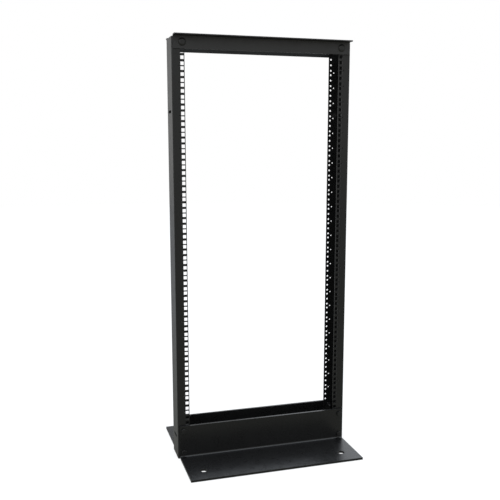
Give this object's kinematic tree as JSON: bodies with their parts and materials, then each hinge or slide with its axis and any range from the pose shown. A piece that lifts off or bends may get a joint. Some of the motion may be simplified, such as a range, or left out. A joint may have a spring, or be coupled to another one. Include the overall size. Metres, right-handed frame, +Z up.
{
  "type": "two post open frame rack",
  "caption": "Open frame equipment rack: two channel uprights with rows of mounting holes, bolted between base angles and top angles.",
  "frame": {"origin": "centre of the footprint, at floor level", "axes": "+X to the right seen from the front, +Y to the rear, +Z up"},
  "size_m": [0.5226, 0.396, 1.2062],
  "materials": {
    "black_powder_coat": "satin black powder coat"
  },
  "bodies": {
    "root": {"left_upright": "black_powder_coat", "right_upright": "black_powder_coat", "front_base_angle": "black_powder_coat", "rear_base_angle": "black_powder_coat", "front_top_angle": "black_powder_coat", "rear_top_angle": "black_powder_coat"}
  },
  "joints": []
}
